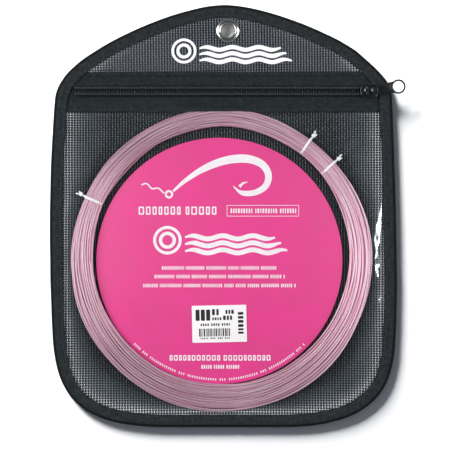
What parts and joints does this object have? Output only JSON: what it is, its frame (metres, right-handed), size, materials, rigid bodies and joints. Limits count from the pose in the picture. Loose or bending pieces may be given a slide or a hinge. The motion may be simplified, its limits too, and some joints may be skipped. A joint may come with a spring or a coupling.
{
  "type": "leader line coil in a zippered mesh pouch",
  "caption": "Flat zippered mesh pouch with a clear front and a hang grommet, holding a tied coil of clear pink leader line round a round label card.",
  "frame": {"origin": "on the outer face of the back panel, on the pouch's centre line, half way up the pouch", "axes": "+Z out of the clear front, +Y towards the hang grommet, +X towards the closed end of the zipper"},
  "size_m": [0.2012, 0.2396, 0.0088],
  "materials": {
    "mesh_fabric": "coated black open weave",
    "clear_vinyl": "clear, glossy",
    "binding_tape": "black woven tape",
    "zipper_tape": "black woven tape",
    "zipper_nylon": "black nylon, half gloss",
    "filler_cord": "twisted black cord",
    "black_metal": "glossy black",
    "nickel": "bright nickel plate",
    "pink_line": "clear pink",
    "tie_plastic": "white",
    "pink_card": "coated, satin",
    "white_sticker": "matte"
  },
  "bodies": {
    "pouch": {"back_panel": "mesh_fabric", "header_panel": "mesh_fabric", "front_window": "clear_vinyl", "edge_binding": "binding_tape", "zipper_tape_upper": "zipper_tape", "zipper_tape_lower": "zipper_tape", "zipper_coil_upper": "zipper_nylon", "zipper_coil_lower": "zipper_nylon", "filler_cord_upper": "filler_cord", "filler_cord_lower": "filler_cord", "grommet_eyelet": "nickel", "grommet_washer": "nickel"},
    "slider": {"slider_body": "black_metal", "slider_cap": "black_metal"},
    "pull": {"pull_tab": "black_metal"},
    "coil": {"line_coil": "pink_line", "line_tie_1": "tie_plastic", "line_tie_2": "tie_plastic", "line_tie_3": "tie_plastic"},
    "card": {"label_card": "pink_card", "barcode_sticker": "white_sticker"}
  },
  "joints": [
    {"name": "slider_travel", "type": "slide", "parent": "pouch", "child": "slider", "axis": [-1, 0, 0], "range_m": [0, 0.16]},
    {"name": "pull_swing", "type": "hinge", "parent": "slider", "child": "pull", "pos_m": [0.0806, 0.07065, 0.0069], "axis": [0.1219, -0.9925, 0], "range_deg": [0, 175]},
    {"name": "coil_turn", "type": "hinge", "parent": "pouch", "child": "coil", "pos_m": [-0.0013, -0.026, 0.00345], "axis": [0, 0, 1], "range_deg": [-30, 10]},
    {"name": "card_turn", "type": "hinge", "parent": "pouch", "child": "card", "pos_m": [-0.0028, -0.0256, 0.00105], "axis": [0, 0, 1], "continuous": true}
  ]
}
